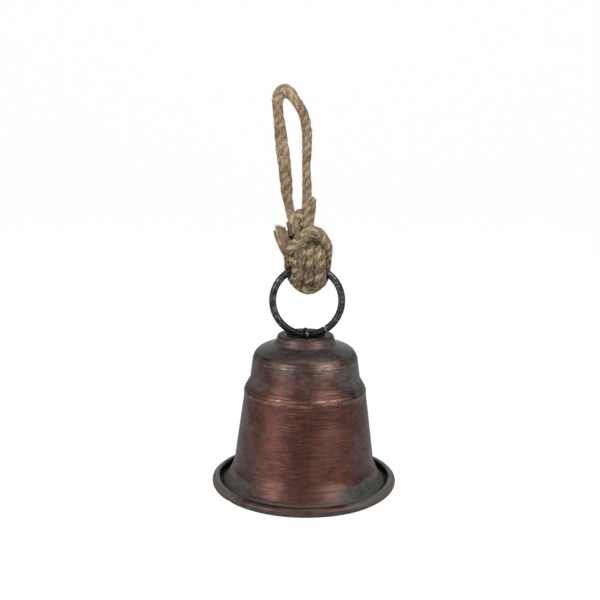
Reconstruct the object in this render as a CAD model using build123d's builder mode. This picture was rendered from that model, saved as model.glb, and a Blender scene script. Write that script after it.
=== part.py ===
"""Yard dinner bell: a spun sheet-metal bell hung by a wire link from a steel ring on a jute rope loop.

Millimetres. +Z is up, and the origin is the centre of the mouth plane, on which the brim rests.
The hanging ring and the rope loop lie in the XZ plane.
"""

from build123d import *
import os
from math import atan2, cos, degrees, radians, sin, tan

# ---------------------------------------------------------------- driving dimensions
RIM_DIAMETER = 120.0  # outside of the rolled brim
BELL_HEIGHT = 100.0  # mouth plane to the top of the crown
SHEET = 0.8  # thickness of the spun sheet

BEAD_RADIUS = 3.1  # outside radius of the rolled brim's section
CURL_END_ANGLE = 128.0  # where the curled edge stops, counted from the outermost point

RING_WIRE = 4.5  # hanging ring wire diameter
RING_OUTSIDE = 48.4  # hanging ring outside diameter
RING_SINK = 2.3  # how far the ring's lowest point sits below the crown's top
RING_OFFSET = 0.8  # how far the ring hangs to the right of the bell's axis

LINK_WIRE = 2.2  # crown link wire diameter
UPPER_EYE_TURN = 18.0  # how far the link's upper eye is turned from square to the ring
CLAPPER_LINK_WIRE = 2.0
CLAPPER_WIRE = 2.4
CLAPPER_BALL = 19.0  # ball diameter
CLAPPER_BALL_HEIGHT = 20.0  # ball centre above the mouth plane

ROPE = 6.5  # jute rope diameter
CONTACT_GAP = 0.05  # gap left where one piece bears on the next

# ---------------------------------------------------------------- bell shell outline, (radius, height)
LINK_HOLE_RADIUS = 1.5
DISH_FLOOR = 94.6  # top face of the crown's dished floor
DISH_FLOOR_RADIUS = 8.0
DISH_EDGE_RADIUS = 12.8
CROWN_RADIUS = 17.7
NECK_FOOT = (19.4, 94.4)
SHOULDER = (32.7, 90.8)
DOME_FOOT = (35.4, 72.0)
STEP_FOOT = (39.4, 64.6)
SKIRT_TOP = (39.5, 59.8)
SKIRT_FOOT = (45.6, 15.0)
FLARE_RADIUS = 16.0
FLARE_END_SLOPE = 39.5  # degrees from the vertical
GUTTER_FILLET = 2.5

# ---------------------------------------------------------------- places that follow
SKIRT_SLOPE = degrees(atan2(SKIRT_FOOT[0] - SKIRT_TOP[0], SKIRT_TOP[1] - SKIRT_FOOT[1]))
BEAD_CENTRE = (RIM_DIAMETER / 2 - BEAD_RADIUS, BEAD_RADIUS)

RING_RADIUS = (RING_OUTSIDE - RING_WIRE) / 2
RING_HEIGHT = BELL_HEIGHT - RING_SINK + RING_OUTSIDE / 2
RING_BOTTOM = RING_HEIGHT - RING_RADIUS  # wire centre at the ring's lowest point

LINK_R = LINK_WIRE / 2
UPPER_EYE_RADIUS = 3.72  # radii of eyes and bends are to the wire's centre line
LOWER_EYE_RADIUS = 3.9
UPPER_EYE = RING_BOTTOM + RING_WIRE / 2 + CONTACT_GAP + LINK_R - UPPER_EYE_RADIUS

WASHER_DIAMETER = 14.0
WASHER_THICKNESS = 1.0
WASHER_FOOT = DISH_FLOOR - SHEET - CONTACT_GAP - WASHER_THICKNESS

LOWER_EYE = WASHER_FOOT - CONTACT_GAP - LINK_R - LOWER_EYE_RADIUS
LOWER_EYE_BOTTOM = LOWER_EYE - LOWER_EYE_RADIUS

CLAPPER_LINK_R = CLAPPER_LINK_WIRE / 2
CLAPPER_LINK_BEND = 3.0
CLAPPER_LINK_STRAIGHT = 6.0
CLAPPER_LINK_TOP = LOWER_EYE_BOTTOM + LINK_R + CONTACT_GAP + CLAPPER_LINK_R
CLAPPER_LINK_BOTTOM = CLAPPER_LINK_TOP - 2 * CLAPPER_LINK_BEND - CLAPPER_LINK_STRAIGHT

CLAPPER_R = CLAPPER_WIRE / 2
CLAPPER_EYE_RADIUS = 3.2
CLAPPER_EYE = CLAPPER_LINK_BOTTOM + CLAPPER_LINK_R + CONTACT_GAP + CLAPPER_R - CLAPPER_EYE_RADIUS
CLAPPER_NUT_HEIGHT = 2.1
CLAPPER_NUT_TOP = CLAPPER_BALL_HEIGHT - CLAPPER_BALL / 2
CLAPPER_ROD_FOOT = CLAPPER_NUT_TOP - CLAPPER_NUT_HEIGHT - 1.0

ROPE_R = ROPE / 2
LEG_FOOT = 173.0  # where the loop's two legs meet the knot
KNOT_TOP = 170.5
KNOT_CENTRE = (0.5, 151.0)  # (x, z)
KNOT_HALF_WIDTH = 15.9
KNOT_HALF_DEPTH = 13.5
KNOT_HALF_HEIGHT = 17.0
RING_CHANNEL_GAP = 0.45  # radial gap between the ring and the knot tied round it


def wire_eye(radius, height, wire_radius, turn=0.0):
    """A closed upright wire eye, added to the part being built. At turn 0 it lies in the YZ plane."""
    across = (cos(radians(turn)), sin(radians(turn)), 0)
    with BuildSketch(Plane.XY.offset(height)) as section:
        with Locations((-across[1] * radius, across[0] * radius)):
            Circle(wire_radius)
    revolve(section.sketch, axis=Axis((0, 0, height), across))


# ---------------------------------------------------------------- bell shell
def flare_point(slope):
    """The point of the flare whose slope from the vertical is slope, in degrees."""
    centre_x = SKIRT_FOOT[0] + FLARE_RADIUS * cos(radians(SKIRT_SLOPE))
    centre_z = SKIRT_FOOT[1] + FLARE_RADIUS * sin(radians(SKIRT_SLOPE))
    return (
        centre_x - FLARE_RADIUS * cos(radians(slope)),
        centre_z - FLARE_RADIUS * sin(radians(slope)),
    )


flare_foot = flare_point(FLARE_END_SLOPE)
gutter_corner = (flare_foot[0] + (flare_foot[1] - SHEET) * tan(radians(FLARE_END_SLOPE)), SHEET)

with BuildPart() as bell_shell:
    with BuildSketch(Plane.XZ):
        with BuildLine():
            FilletPolyline(
                (LINK_HOLE_RADIUS, DISH_FLOOR),
                (DISH_FLOOR_RADIUS, DISH_FLOOR),
                (DISH_EDGE_RADIUS, BELL_HEIGHT),
                (CROWN_RADIUS, BELL_HEIGHT),
                NECK_FOOT,
                SHOULDER,
                DOME_FOOT,
                STEP_FOOT,
                SKIRT_TOP,
                SKIRT_FOOT,
                radius=(2.0, 1.0, 1.1, 1.6, 9.5, 3.0, 1.3, 2.5),
            )
            ThreePointArc(SKIRT_FOOT, flare_point((SKIRT_SLOPE + FLARE_END_SLOPE) / 2), flare_foot)
            FilletPolyline(flare_foot, gutter_corner, (BEAD_CENTRE[0], SHEET), radius=GUTTER_FILLET)
            CenterArc(BEAD_CENTRE, BEAD_RADIUS - SHEET, -90, 90 + CURL_END_ANGLE)
            offset(amount=SHEET, side=Side.RIGHT)
        make_face()
    revolve(axis=Axis.Z)

bell_shell.part.label = "bell_shell"

# ---------------------------------------------------------------- crown washer, under the dished floor
with BuildPart() as crown_washer:
    with BuildSketch(Plane.XY.offset(WASHER_FOOT)):
        Circle(WASHER_DIAMETER / 2)
        Circle(LINK_HOLE_RADIUS, mode=Mode.SUBTRACT)
    extrude(amount=WASHER_THICKNESS)
    chamfer(crown_washer.edges().filter_by(GeomType.CIRCLE).group_by(SortBy.RADIUS)[-1], length=0.2)

crown_washer.part.label = "crown_washer"

# ---------------------------------------------------------------- crown link: eye, shank, eye
with BuildPart() as crown_link:
    wire_eye(UPPER_EYE_RADIUS, UPPER_EYE, LINK_R, UPPER_EYE_TURN)
    wire_eye(LOWER_EYE_RADIUS, LOWER_EYE, LINK_R)
    with BuildSketch(Plane.XY.offset(LOWER_EYE + LOWER_EYE_RADIUS)):
        Circle(LINK_R)
    extrude(amount=UPPER_EYE - UPPER_EYE_RADIUS - LOWER_EYE - LOWER_EYE_RADIUS)

crown_link.part.label = "crown_link"

# ---------------------------------------------------------------- hanging ring, with its butt joint
JOINT_ANGLE = -57.0  # the butt joint's place round the ring, from +X towards +Z
JOINT_GAP = 0.5
joint_half_angle = degrees(JOINT_GAP / 2 / RING_RADIUS)
ring_start = radians(JOINT_ANGLE + joint_half_angle)
ring_end_plane = Plane(
    origin=(
        RING_OFFSET + RING_RADIUS * cos(ring_start),
        0,
        RING_HEIGHT + RING_RADIUS * sin(ring_start),
    ),
    x_dir=(0, 1, 0),
    z_dir=(-sin(ring_start), 0, cos(ring_start)),
)

with BuildPart() as hanging_ring:
    with BuildSketch(ring_end_plane):
        Circle(RING_WIRE / 2)
    revolve(axis=Axis((RING_OFFSET, 0, RING_HEIGHT), (0, -1, 0)), revolution_arc=360 - 2 * joint_half_angle)
    end_faces = hanging_ring.faces().filter_by(GeomType.PLANE)
    chamfer(end_faces.edges(), length=0.3)

hanging_ring.part.label = "hanging_ring"

# ---------------------------------------------------------------- rope loop
LOOP_PATH = (  # (x, z): up the right leg, over the top and down the left leg
    (1.2, LEG_FOOT),
    (-0.4, 195.0),
    (-0.3, 224.0),
    (-3.4, 242.0),
    (-14.2, 253.4),
    (-18.2, 242.0),
    (-16.3, 224.0),
    (-13.6, 195.0),
    (-9.6, LEG_FOOT),
)

SECOND_END_FOOT = (2.6, 2.0)  # (x, y) of the rope's other end, which lies against the right leg
SECOND_END_HEIGHT = 14.0
SECOND_END_RADIUS = 2.9

with BuildPart() as rope_loop:
    with BuildLine(Plane.XZ):
        loop_path = Spline(*LOOP_PATH)
    with BuildSketch(Plane(origin=loop_path @ 0, z_dir=loop_path % 0)):
        Circle(ROPE_R)
    sweep()
    with BuildSketch(Plane.XY.offset(LEG_FOOT + CONTACT_GAP)):
        with Locations(SECOND_END_FOOT):
            Circle(SECOND_END_RADIUS)
    extrude(amount=SECOND_END_HEIGHT)

rope_loop.part.label = "rope_loop"

# ---------------------------------------------------------------- rope knot, tied round the ring's top
BIGHT = ((-10.0, 138.2), (1.8, 129.3), (12.6, 138.6))  # rope passing through the ring, (x, z)
COLLAR_MIDDLE = (-4.2, 0.0)
COLLAR_SPAN = 10.8  # between the centres of the two legs it holds
COLLAR_THICKNESS = 12.0
COLLAR_FOOT = 158.0

with BuildPart() as rope_knot:
    with BuildSketch(Plane.XZ):
        with Locations(KNOT_CENTRE):
            Ellipse(KNOT_HALF_WIDTH, KNOT_HALF_HEIGHT)
            Rectangle(
                KNOT_HALF_WIDTH,
                2 * KNOT_HALF_HEIGHT,
                align=(Align.MAX, Align.CENTER),
                mode=Mode.SUBTRACT,
            )
    revolve(axis=Axis((KNOT_CENTRE[0], 0, 0), (0, 0, 1)))
    scale(by=(1, KNOT_HALF_DEPTH / KNOT_HALF_WIDTH, 1))
    with BuildSketch(Plane.XY.offset(COLLAR_FOOT)):
        with Locations(COLLAR_MIDDLE):
            SlotCenterToCenter(COLLAR_SPAN, COLLAR_THICKNESS)
    extrude(amount=KNOT_TOP - COLLAR_FOOT)
    fillet(rope_knot.faces().sort_by(Axis.Z)[-1].edges(), radius=3.0)
    with BuildLine(Plane.XZ):
        bight_path = ThreePointArc(*BIGHT)
    with BuildSketch(Plane(origin=bight_path @ 0, z_dir=bight_path % 0)):
        Circle(ROPE_R)
    sweep()
    with BuildSketch(Plane.XY.offset(RING_HEIGHT)):
        with Locations((RING_OFFSET + RING_RADIUS, 0)):
            Circle(RING_WIRE / 2 + RING_CHANNEL_GAP)
    revolve(axis=Axis((RING_OFFSET, 0, RING_HEIGHT), (0, 1, 0)), mode=Mode.SUBTRACT)

rope_knot.part.label = "rope_knot"

# ---------------------------------------------------------------- rope tail, the frayed cut end
TAIL_ROOT = (-11.5, 153.5)  # (x, z)
TAIL_TIP = (-17.2, 168.8)
TAIL_RADIUS = 3.7

with BuildPart() as rope_tail:
    with BuildSketch(
        Plane(
            origin=(TAIL_ROOT[0], 0, TAIL_ROOT[1]),
            z_dir=(TAIL_TIP[0] - TAIL_ROOT[0], 0, TAIL_TIP[1] - TAIL_ROOT[1]),
        )
    ):
        Circle(TAIL_RADIUS)
    extrude(amount=Vector(TAIL_TIP).sub(Vector(TAIL_ROOT)).length)
    fillet(rope_tail.faces().sort_by(Axis.X)[0].edges(), radius=1.2)
    add(rope_knot.part, mode=Mode.SUBTRACT)

rope_tail.part.label = "rope_tail"

# ---------------------------------------------------------------- clapper link, an oval of wire
with BuildPart() as clapper_link:
    upper_bend = CLAPPER_LINK_TOP - CLAPPER_LINK_BEND
    lower_bend = CLAPPER_LINK_BOTTOM + CLAPPER_LINK_BEND
    with BuildLine(Plane.XZ):
        right_side = Line((CLAPPER_LINK_BEND, lower_bend), (CLAPPER_LINK_BEND, upper_bend))
        CenterArc((0, upper_bend), CLAPPER_LINK_BEND, 0, 180)
        Line((-CLAPPER_LINK_BEND, upper_bend), (-CLAPPER_LINK_BEND, lower_bend))
        CenterArc((0, lower_bend), CLAPPER_LINK_BEND, 180, 180)
    with BuildSketch(Plane.XY.offset(lower_bend)):
        with Locations((CLAPPER_LINK_BEND, 0)):
            Circle(CLAPPER_LINK_R)
    sweep()

clapper_link.part.label = "clapper_link"

# ---------------------------------------------------------------- clapper rod, with its eye
with BuildPart() as clapper_rod:
    wire_eye(CLAPPER_EYE_RADIUS, CLAPPER_EYE, CLAPPER_R)
    with BuildSketch(Plane.XY.offset(CLAPPER_ROD_FOOT)):
        Circle(CLAPPER_R)
    extrude(amount=CLAPPER_EYE - CLAPPER_EYE_RADIUS - CLAPPER_ROD_FOOT)
    chamfer(clapper_rod.edges().filter_by(GeomType.CIRCLE).sort_by(Axis.Z)[0], length=0.3)

clapper_rod.part.label = "clapper_rod"

# ---------------------------------------------------------------- clapper ball, bored for the rod
with BuildPart() as clapper_ball:
    with BuildSketch(Plane.XZ):
        with BuildLine():
            CenterArc((0, CLAPPER_BALL_HEIGHT), CLAPPER_BALL / 2, -90, 180)
            Line(
                (0, CLAPPER_BALL_HEIGHT + CLAPPER_BALL / 2),
                (0, CLAPPER_BALL_HEIGHT - CLAPPER_BALL / 2),
            )
        make_face()
    revolve(axis=Axis.Z)
    with Locations(Plane.XY.offset(CLAPPER_BALL_HEIGHT)):
        Hole(CLAPPER_R + CONTACT_GAP)

clapper_ball.part.label = "clapper_ball"

# ---------------------------------------------------------------- clapper nut, under the ball
with BuildPart() as clapper_nut:
    with BuildSketch(Plane.XY.offset(CLAPPER_NUT_TOP - CLAPPER_NUT_HEIGHT)):
        RegularPolygon(radius=2.5, side_count=6, major_radius=False)
        Circle(CLAPPER_R + CONTACT_GAP, mode=Mode.SUBTRACT)
    extrude(amount=CLAPPER_NUT_HEIGHT)
    corner_edges = clapper_nut.edges().filter_by(GeomType.LINE).filter_by(Axis.Z)
    fillet(corner_edges, radius=0.3)

clapper_nut.part.label = "clapper_nut"

# ---------------------------------------------------------------- one STEP file for each piece
os.makedirs("parts", exist_ok=True)
pieces = (
    bell_shell,
    crown_washer,
    crown_link,
    hanging_ring,
    rope_loop,
    rope_knot,
    rope_tail,
    clapper_link,
    clapper_rod,
    clapper_ball,
    clapper_nut,
)
for piece in pieces:
    export_step(piece.part, f"parts/{piece.part.label}.step")
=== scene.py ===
import math
import random

import bpy
import numpy as np
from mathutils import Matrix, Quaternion, Vector, noise


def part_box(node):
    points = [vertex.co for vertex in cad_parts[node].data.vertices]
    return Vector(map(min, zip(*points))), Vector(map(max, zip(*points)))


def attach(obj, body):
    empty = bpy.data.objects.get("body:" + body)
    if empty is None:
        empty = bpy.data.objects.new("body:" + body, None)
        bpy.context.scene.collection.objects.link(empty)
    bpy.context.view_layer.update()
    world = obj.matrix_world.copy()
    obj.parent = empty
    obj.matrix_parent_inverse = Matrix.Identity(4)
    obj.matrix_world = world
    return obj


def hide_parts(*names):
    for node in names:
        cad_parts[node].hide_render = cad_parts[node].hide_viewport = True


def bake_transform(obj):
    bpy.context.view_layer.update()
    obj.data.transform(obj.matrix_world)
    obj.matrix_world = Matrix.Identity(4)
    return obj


# Looks of the yard dinner bell: a spun shell with a copper finish, a black ring, a knotted jute rope and
# the steel parts inside. Metres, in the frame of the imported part. Lengths that read better in millimetres
# are written n * MM. Materials work in millimetres, and so do outlines and the marks along a rope.

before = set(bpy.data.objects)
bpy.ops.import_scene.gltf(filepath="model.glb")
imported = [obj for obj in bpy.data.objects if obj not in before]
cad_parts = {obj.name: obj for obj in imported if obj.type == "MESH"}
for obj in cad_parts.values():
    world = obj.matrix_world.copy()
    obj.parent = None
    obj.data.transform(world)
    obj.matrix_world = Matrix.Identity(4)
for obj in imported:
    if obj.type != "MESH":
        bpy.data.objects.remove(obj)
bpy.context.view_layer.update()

MM = 0.001
FULL_TURN = 2 * math.pi

# ---------------------------------------------------------------- places taken from the frame
shell_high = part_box("bell_shell")[1]
ring_low, ring_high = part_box("hanging_ring")
loop_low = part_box("rope_loop")[0]

RIM_RADIUS = shell_high.x
BELL_HEIGHT = shell_high.z

RING_WIRE = (ring_high.y - ring_low.y) / 2  # radius of the wire
RING_RADIUS = (ring_high.z - ring_low.z) / 2 - RING_WIRE
RING_HEIGHT = (ring_high.z + ring_low.z) / 2
RING_SIDE = (ring_high.x + ring_low.x) / 2  # how far its centre is from the bell's axis

ROPE_RADIUS = -loop_low.y  # the legs are centred on the XZ plane


# ---------------------------------------------------------------- mesh helpers
def mesh_object(name, points, faces):
    """A new object with this mesh, shaded smooth."""
    mesh = bpy.data.meshes.new(name)
    mesh.from_pydata([tuple(point) for point in points], [], [tuple(face) for face in faces])
    mesh.validate()
    mesh.shade_smooth()
    piece = bpy.data.objects.new(name, mesh)
    bpy.context.scene.collection.objects.link(piece)
    return piece


def grid_faces(rows, columns, start=0, closed_rows=False):
    """Quads of a grid whose columns close on themselves, and whose rows may."""
    row_count = rows if closed_rows else rows - 1
    row = np.arange(row_count)[:, None]
    column = np.arange(columns)[None, :]
    next_row = (row + 1) % rows
    next_column = (column + 1) % columns
    corners = (
        row * columns + column,
        row * columns + next_column,
        next_row * columns + next_column,
        next_row * columns + column,
    )
    quads = np.stack(np.broadcast_arrays(*corners), axis=-1).reshape(-1, 4)
    return (quads + start).tolist()


def smooth_path(points, step):
    """Points spaced evenly along a smooth curve through the given points, and their distances along it.

    A point is x, y, z and any further values that change smoothly along the curve.
    """
    steps_between_points = 40
    marks = np.array(points, float)
    padded = np.vstack([2 * marks[0] - marks[1], marks, 2 * marks[-1] - marks[-2]])
    t = np.linspace(0, 1, steps_between_points, endpoint=False)[:, None]
    stretches = []
    for a, b, c, d in zip(padded, padded[1:], padded[2:], padded[3:]):
        cubic = (3 * b - a - 3 * c + d) * t**3
        square = (2 * a - 5 * b + 4 * c - d) * t**2
        stretches.append((2 * b + (c - a) * t + square + cubic) / 2)
    curve = np.vstack(stretches + [marks[-1:]])
    hops = np.linalg.norm(np.diff(curve[:, :3], axis=0), axis=1)
    reached = np.concatenate([[0], np.cumsum(hops)])
    along = np.linspace(0, reached[-1], max(int(reached[-1] / step), 3))
    return np.column_stack([np.interp(along, reached, column) for column in curve.T]), along


def frames_along(path):
    """Unit tangents, and two unit normals that don't twist, at each point of a path."""
    tangents = np.gradient(path, axis=0)
    tangents /= np.linalg.norm(tangents, axis=1)[:, None]
    normal = np.cross(tangents[0], (0.0, 1.0, 0.0))
    if np.linalg.norm(normal) < 0.1:
        normal = np.cross(tangents[0], (1.0, 0.0, 0.0))
    normals = []
    for tangent in tangents:
        normal = normal - tangent * np.dot(normal, tangent)
        normal = normal / np.linalg.norm(normal)
        normals.append(normal)
    normals = np.array(normals)
    return tangents, normals, np.cross(tangents, normals)


def spokes(first, second, angles):
    """Unit vectors at these angles from first towards second, for each row of the two."""
    cosine = np.cos(angles)[:, None]
    sine = np.sin(angles)[:, None]
    return first[:, None, :] * cosine + second[:, None, :] * sine


def set_attribute(piece, name, values):
    """Stores one number, or one vector, for each of the mesh's points."""
    values = np.asarray(values, np.float32)
    if values.ndim == 1:
        attribute = piece.data.attributes.new(name, "FLOAT", "POINT")
        attribute.data.foreach_set("value", values)
    else:
        attribute = piece.data.attributes.new(name, "FLOAT_VECTOR", "POINT")
        attribute.data.foreach_set("vector", values.ravel())


# ---------------------------------------------------------------- material helpers
def linear(red, green, blue):
    """A screen colour, 0 to 255, as the linear colour a shader takes."""
    channels = []
    for value in (red, green, blue):
        share = value / 255
        if share <= 0.04045:
            channels.append(share / 12.92)
        else:
            channels.append(((share + 0.055) / 1.055) ** 2.4)
    return channels + [1.0]


class Shading:
    """A material's node tree, with short ways to add what the materials here need."""

    def __init__(self, name):
        self.material = bpy.data.materials.new(name)
        self.material.use_nodes = True
        self.tree = self.material.node_tree
        self.surface = self.tree.nodes["Principled BSDF"]

    def add(self, kind, settings=None, **inputs):
        """Adds a node. An input is a plain value or another node's output."""
        made = self.tree.nodes.new(kind)
        for key, value in (settings or {}).items():
            setattr(made, key, value)
        for key, value in inputs.items():
            self.put(made.inputs[key.replace("_", " ")], value)
        return made

    def put(self, socket, value):
        """Sets a socket to a plain value, or links another node's output to it."""
        if isinstance(value, bpy.types.NodeSocket):
            self.tree.links.new(value, socket)
        else:
            socket.default_value = value

    def math(self, operation, first, second=0.0):
        made = self.tree.nodes.new("ShaderNodeMath")
        made.operation = operation
        self.put(made.inputs[0], first)
        self.put(made.inputs[1], second)
        return made.outputs[0]

    def times(self, first, second):
        return self.math("MULTIPLY", first, second)

    def plus(self, first, second):
        return self.math("ADD", first, second)

    def larger(self, first, second):
        return self.math("MAXIMUM", first, second)

    def millimetres(self):
        """The place on the piece, in millimetres, in the part's frame."""
        place = self.add("ShaderNodeTexCoord").outputs["Object"]
        scaled = self.add("ShaderNodeVectorMath", {"operation": "SCALE"}, Scale=1 / MM)
        self.put(scaled.inputs[0], place)
        return scaled.outputs[0]

    def split(self, vector):
        return self.add("ShaderNodeSeparateXYZ", Vector=vector).outputs

    def join(self, x, y, z):
        return self.add("ShaderNodeCombineXYZ", X=x, Y=y, Z=z).outputs[0]

    def noise(self, vector, scale, detail=3.0, roughness=0.6, distortion=0.0):
        """Cloudy values from 0 to 1, about as many clouds to a unit of the vector as the scale says."""
        made = self.add(
            "ShaderNodeTexNoise",
            Vector=vector,
            Scale=scale,
            Detail=detail,
            Roughness=roughness,
            Distortion=distortion,
        )
        return made.outputs["Fac"]

    def span(self, value, low, high, to_low=0.0, to_high=1.0):
        """value, taken from low..high to to_low..to_high, with a smooth start and stop."""
        made = self.add("ShaderNodeMapRange", {"interpolation_type": "SMOOTHSTEP"})
        for index, number in enumerate((value, low, high, to_low, to_high)):
            self.put(made.inputs[index], number)
        return made.outputs[0]

    def band(self, value, start, stop, fade):
        """1 between start and stop, fading to 0 over fade on both sides."""
        rise = self.span(value, start - fade, start)
        fall = self.span(value, stop, stop + fade, 1.0, 0.0)
        return self.times(rise, fall)

    def blend(self, share, first, second):
        """The colour first where share is 0, and second where it is 1."""
        made = self.add("ShaderNodeMix", {"data_type": "RGBA"})
        self.put(made.inputs[0], share)
        self.put(made.inputs[6], first)
        self.put(made.inputs[7], second)
        return made.outputs[2]

    def mix_surfaces(self, share, first, second):
        """A shader that goes from first to second, which are nodes."""
        made = self.tree.nodes.new("ShaderNodeMixShader")
        self.put(made.inputs[0], share)
        self.put(made.inputs[1], first.outputs[0])
        self.put(made.inputs[2], second.outputs[0])
        return made

    def bump(self, height, strength, distance):
        """Fine relief, as deep as the distance where the strength is 1."""
        made = self.add("ShaderNodeBump", Height=height, Strength=strength, Distance=distance)
        self.put(self.surface.inputs["Normal"], made.outputs[0])

    def finish(self, colour, metallic, roughness, **others):
        """Connects the surface's inputs, and returns the material."""
        self.put(self.surface.inputs["Base Color"], colour)
        self.put(self.surface.inputs["Metallic"], metallic)
        self.put(self.surface.inputs["Roughness"], roughness)
        for key, value in others.items():
            self.put(self.surface.inputs[key.replace("_", " ")], value)
        return self.material


def dress(piece, material):
    """Gives every material slot of a piece this material."""
    if not piece.material_slots:
        piece.data.materials.append(material)
    for slot in piece.material_slots:
        slot.link = "OBJECT"
        slot.material = material


# ---------------------------------------------------------------- bell shell
SHELL_SEGMENTS = 240
OUTER_STEP = 0.65 * MM
INNER_STEP = 1.3 * MM
ARC_POINTS = 12  # round each corner of the outline
SHEET = 0.8 * MM

# The outline from the link hole to the flare, as (radius, height, corner radius) in millimetres.
SHELL_OUTLINE = (
    (1.5, 94.6, 0.0),
    (8.0, 94.6, 2.0),
    (12.8, 100.0, 1.0),
    (17.7, 100.0, 1.1),
    (19.4, 94.4, 1.6),
    (32.7, 90.8, 9.5),
    (35.4, 72.0, 3.0),
    (39.4, 64.6, 1.3),
    (39.5, 59.8, 2.5),
    (45.6, 15.0, 16.0),
    (49.6, 6.4, 3.0),
    (54.2, 0.8, 2.5),
    (56.9, 0.8, 0.0),
)
BEAD_RADIUS = 3.1 * MM  # of the rolled brim
CURL_END = math.radians(128.0)  # how far the brim's edge is rolled round, from level
CURL_POINTS = 28

# The sheet isn't quite round or level: slow dents, fine ripples, and a wave of the brim up and down.
DENT_DEPTH = 0.28 * MM
DENTS_PER_METRE = 28.0
RIPPLE_DEPTH = 0.05 * MM
RIPPLES_PER_METRE = 90.0
WAVE_HEIGHT = 0.22 * MM
WAVES_PER_METRE = 22.0

NICK_PLACE = Vector((-47.6, -36.5)) * MM  # a knock in the rolled brim
NICK_WIDTH = 2.6 * MM
NICK_DEPTH = 0.7 * MM

TOOLED_FROM = 20 * MM  # the rings lie outside this radius
# Shallow rings left by the spinning tool, as (height, how far they stand out, half width) in millimetres.
TOOL_RINGS = (
    (89.7, 0.10, 0.45),
    (86.6, -0.12, 0.5),
    (85.2, 0.16, 0.45),
    (72.2, -0.12, 0.6),
    (69.9, -0.10, 0.5),
    (68.7, 0.10, 0.4),
    (66.4, 0.14, 0.45),
    (65.2, -0.10, 0.4),
    (62.2, -0.14, 0.5),
    (12.2, 0.12, 0.5),
    (10.4, -0.12, 0.5),
    (8.6, 0.10, 0.5),
)


def rounded_outline(corners, step):
    """Evenly spaced points along straight runs joined by arcs at the corners."""
    marks = np.array([corner[:2] for corner in corners]) * MM
    radii = [corner[2] * MM for corner in corners]
    outline = [marks[0]]
    for before, corner, after, radius in zip(marks, marks[1:], marks[2:], radii[1:]):
        back = (before - corner) / np.linalg.norm(before - corner)
        ahead = (after - corner) / np.linalg.norm(after - corner)
        half_angle = math.acos(np.clip(np.dot(back, ahead), -1, 1)) / 2
        bisector = (back + ahead) / np.linalg.norm(back + ahead)
        centre = corner + bisector * radius / math.sin(half_angle)
        start = corner + back * radius / math.tan(half_angle) - centre
        end = corner + ahead * radius / math.tan(half_angle) - centre
        for share in np.linspace(0, 1, ARC_POINTS):
            spoke = start * (1 - share) + end * share
            outline.append(centre + spoke / np.linalg.norm(spoke) * radius)
    outline.append(marks[-1])
    return respaced(np.array(outline), step)


def respaced(outline, step):
    """The same line with its points a step apart."""
    hops = np.linalg.norm(np.diff(outline, axis=0), axis=1)
    reached = np.concatenate([[0], np.cumsum(hops)])
    along = np.linspace(0, reached[-1], int(reached[-1] / step) + 2)
    return np.column_stack([np.interp(along, reached, outline[:, k]) for k in range(2)])


def outward(outline):
    """Unit normals of an outline, towards the outside of the bell."""
    run = np.gradient(outline, axis=0)
    run /= np.linalg.norm(run, axis=1)[:, None]
    return np.column_stack([-run[:, 1], run[:, 0]])


def shell_section():
    """The sheet's closed section: along the outside, round the curled edge and back inside."""
    wall = rounded_outline(SHELL_OUTLINE, OUTER_STEP)
    centre = np.array([RIM_RADIUS - BEAD_RADIUS, BEAD_RADIUS])
    angles = np.linspace(-math.pi / 2, CURL_END, CURL_POINTS)
    curl = np.column_stack([np.cos(angles), np.sin(angles)]) * (BEAD_RADIUS - SHEET)
    upper = np.vstack([wall[:-1], centre + curl])
    lower = respaced(upper - outward(upper) * SHEET, INNER_STEP)[::-1]
    return upper, lower


def tool_marked(wall):
    """The outside with the spinning tool's rings in it."""
    marked = wall.copy()
    for height, depth, half_width in TOOL_RINGS:
        swell = np.exp(-(((wall[:, 1] / MM - height) / half_width) ** 2)) * depth * MM
        marked += outward(wall) * (swell * (wall[:, 0] > TOOLED_FROM))[:, None]
    return marked


def out_of_true(place, radius):
    """A point of a perfectly round and level bell, moved as this bell's sheet is."""
    dents = DENT_DEPTH * noise.noise(place * DENTS_PER_METRE)
    ripples = RIPPLE_DEPTH * noise.noise(place * RIPPLES_PER_METRE + Vector((7.0, 3.0, 1.0)))
    radial = 1 + (dents + ripples) / max(radius, 12 * MM)
    from_nick = (place.xy - NICK_PLACE).length / NICK_WIDTH
    radial -= NICK_DEPTH * math.exp(-(from_nick**2)) / RIM_RADIUS
    wave = noise.noise(Vector((place.x * WAVES_PER_METRE, place.y * WAVES_PER_METRE, 4.0)))
    lift = WAVE_HEIGHT * wave * (radius / RIM_RADIUS) ** 3
    return place.x * radial, place.y * radial, place.z + lift


def bell_shell():
    """The spun shell with its rolled brim, one closed sheet."""
    upper, lower = shell_section()
    section = np.vstack([tool_marked(upper), lower])
    points = []
    for radius, height in section:
        for turn in np.linspace(0, FULL_TURN, SHELL_SEGMENTS, endpoint=False):
            place = Vector((math.cos(turn) * radius, math.sin(turn) * radius, height))
            points.append(out_of_true(place, radius))
    faces = grid_faces(len(section), SHELL_SEGMENTS, closed_rows=True)
    return mesh_object("copper_shell", points, faces)


# Rings painted bright on the neck, the shoulder and the step, as (low, high, fade): partly rubbed metal,
# partly painted highlight.
RUBBED_HIGHLIGHT_RINGS = (
    (97.6, 97.8, 0.4),
    (87.3, 87.5, 0.3),
    (85.0, 85.5, 0.6),
    (66.2, 66.6, 0.5),
    (63.5, 64.2, 0.6),
)
FAINT_HIGHLIGHT_RING = (89.5, 89.9, 0.5)

# Where patina lies: the neck, the shoulder and the dome, as (low, high, fade, how much).
PATINA_BANDS = (
    (94.0, 98.8, 0.6, 0.26),
    (90.5, 94.0, 2.5, 0.44),
    (70.0, 88.0, 3.0, 0.17),
)


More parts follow.
